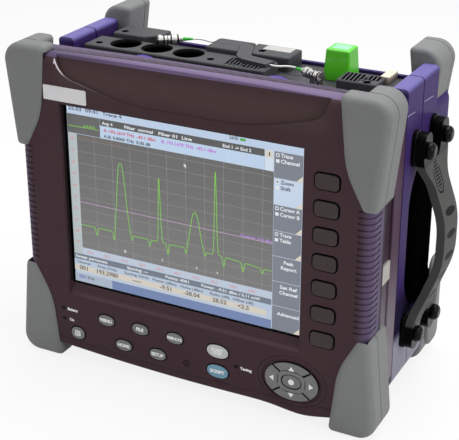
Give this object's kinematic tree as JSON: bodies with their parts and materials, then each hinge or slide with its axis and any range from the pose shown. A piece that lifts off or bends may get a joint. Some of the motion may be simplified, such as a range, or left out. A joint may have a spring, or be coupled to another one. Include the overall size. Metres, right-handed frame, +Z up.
{
  "type": "optical spectrum analyzer",
  "caption": "Portable optical test set: screen and keys in front, module slices with sockets and a fibre lead behind, corner bumpers and a side strap handle.",
  "frame": {"origin": "on the floor under the middle of the whole outline, handle included", "axes": "+Z up, the screen faces -Y, +X towards the handle"},
  "size_m": [0.3528, 0.176, 0.283],
  "materials": {
    "bezel": "fine grain",
    "slice": "satin",
    "bumper": "matt",
    "module": "matt paint",
    "window": "clear",
    "display": "lit screen",
    "board": "lacquer",
    "battery": "wrap",
    "light": "clear lens",
    "tab": "satin",
    "steel": "turned",
    "boot": "satin",
    "fibre": "smooth",
    "cap": "satin",
    "handle": "matt",
    "stud": "polished",
    "liner": "matt",
    "key_black": "matt",
    "key_grey": "matt",
    "key_light": "matt",
    "key_blue": "matt"
  },
  "bodies": {
    "case": {"base_housing": "bezel", "battery_pack": "battery", "cap_post": "module", "centre_cover": "module", "connector_left": "steel", "connector_right": "steel", "corner_cover": "module", "cover_screws": "steel", "display_panel": "display", "display_window": "window", "fibre_boots": "boot", "fibre_guide": "module", "fibre_lead": "fibre", "front_bezel": "bezel", "front_bumper_bottom_left": "bumper", "front_bumper_bottom_right": "bumper", "front_bumper_top_left": "bumper", "front_bumper_top_right": "bumper", "front_module": "module", "front_slice": "slice", "hand_well": "liner", "handle_lugs": "handle", "handle_strap": "handle", "handle_studs": "stud", "key_board": "board", "label_block": "module", "main_board": "board", "rear_bumper_bottom_left": "bumper", "rear_bumper_bottom_right": "bumper", "rear_bumper_top_left": "bumper", "rear_bumper_top_right": "bumper", "rear_cover": "slice", "rear_module": "module", "rear_slice": "slice", "side_tab": "tab", "socket_plate": "module", "status_lights": "light", "vent_block": "module"},
    "function_key_1": {"function_key_1": "key_grey"},
    "function_key_2": {"function_key_2": "key_grey"},
    "function_key_3": {"function_key_3": "key_grey"},
    "function_key_4": {"function_key_4": "key_grey"},
    "function_key_5": {"function_key_5": "key_grey"},
    "nav_down": {"nav_down": "key_grey"},
    "nav_enter": {"nav_enter": "key_grey"},
    "nav_left": {"nav_left": "key_grey"},
    "nav_right": {"nav_right": "key_grey"},
    "nav_up": {"nav_up": "key_grey"},
    "power_key": {"power_key": "key_grey"},
    "script_key": {"script_key": "key_blue"},
    "softkey_1": {"softkey_1": "key_black"},
    "softkey_2": {"softkey_2": "key_black"},
    "softkey_3": {"softkey_3": "key_black"},
    "softkey_4": {"softkey_4": "key_black"},
    "softkey_5": {"softkey_5": "key_black"},
    "softkey_6": {"softkey_6": "key_black"},
    "softkey_7": {"softkey_7": "key_black"},
    "start_key": {"start_key": "key_light"},
    "green_cap": {"green_cap": "cap"}
  },
  "joints": [
    {"name": "function_key_1_press", "type": "slide", "parent": "case", "child": "function_key_1", "axis": [0, 1, 0], "range_m": [0, 0.0012], "stiffness_N_per_m": 800},
    {"name": "function_key_2_press", "type": "slide", "parent": "case", "child": "function_key_2", "axis": [0, 1, 0], "range_m": [0, 0.0012], "stiffness_N_per_m": 800},
    {"name": "function_key_3_press", "type": "slide", "parent": "case", "child": "function_key_3", "axis": [0, 1, 0], "range_m": [0, 0.0012], "stiffness_N_per_m": 800},
    {"name": "function_key_4_press", "type": "slide", "parent": "case", "child": "function_key_4", "axis": [0, 1, 0], "range_m": [0, 0.0012], "stiffness_N_per_m": 800},
    {"name": "function_key_5_press", "type": "slide", "parent": "case", "child": "function_key_5", "axis": [0, 1, 0], "range_m": [0, 0.0012], "stiffness_N_per_m": 800},
    {"name": "nav_down_press", "type": "slide", "parent": "case", "child": "nav_down", "axis": [0, 1, 0], "range_m": [0, 0.0012], "stiffness_N_per_m": 800},
    {"name": "nav_enter_press", "type": "slide", "parent": "case", "child": "nav_enter", "axis": [0, 1, 0], "range_m": [0, 0.0012], "stiffness_N_per_m": 800},
    {"name": "nav_left_press", "type": "slide", "parent": "case", "child": "nav_left", "axis": [0, 1, 0], "range_m": [0, 0.0012], "stiffness_N_per_m": 800},
    {"name": "nav_right_press", "type": "slide", "parent": "case", "child": "nav_right", "axis": [0, 1, 0], "range_m": [0, 0.0012], "stiffness_N_per_m": 800},
    {"name": "nav_up_press", "type": "slide", "parent": "case", "child": "nav_up", "axis": [0, 1, 0], "range_m": [0, 0.0012], "stiffness_N_per_m": 800},
    {"name": "power_key_press", "type": "slide", "parent": "case", "child": "power_key", "axis": [0, 1, 0], "range_m": [0, 0.0012], "stiffness_N_per_m": 800},
    {"name": "script_key_press", "type": "slide", "parent": "case", "child": "script_key", "axis": [0, 1, 0], "range_m": [0, 0.0012], "stiffness_N_per_m": 800},
    {"name": "softkey_1_press", "type": "slide", "parent": "case", "child": "softkey_1", "axis": [0, 1, 0], "range_m": [0, 0.0012], "stiffness_N_per_m": 800},
    {"name": "softkey_2_press", "type": "slide", "parent": "case", "child": "softkey_2", "axis": [0, 1, 0], "range_m": [0, 0.0012], "stiffness_N_per_m": 800},
    {"name": "softkey_3_press", "type": "slide", "parent": "case", "child": "softkey_3", "axis": [0, 1, 0], "range_m": [0, 0.0012], "stiffness_N_per_m": 800},
    {"name": "softkey_4_press", "type": "slide", "parent": "case", "child": "softkey_4", "axis": [0, 1, 0], "range_m": [0, 0.0012], "stiffness_N_per_m": 800},
    {"name": "softkey_5_press", "type": "slide", "parent": "case", "child": "softkey_5", "axis": [0, 1, 0], "range_m": [0, 0.0012], "stiffness_N_per_m": 800},
    {"name": "softkey_6_press", "type": "slide", "parent": "case", "child": "softkey_6", "axis": [0, 1, 0], "range_m": [0, 0.0012], "stiffness_N_per_m": 800},
    {"name": "softkey_7_press", "type": "slide", "parent": "case", "child": "softkey_7", "axis": [0, 1, 0], "range_m": [0, 0.0012], "stiffness_N_per_m": 800},
    {"name": "start_key_press", "type": "slide", "parent": "case", "child": "start_key", "axis": [0, 1, 0], "range_m": [0, 0.0012], "stiffness_N_per_m": 800},
    {"name": "green_cap_lift", "type": "slide", "parent": "case", "child": "green_cap", "axis": [0, 0, 1], "range_m": [0, 0.03]}
  ]
}
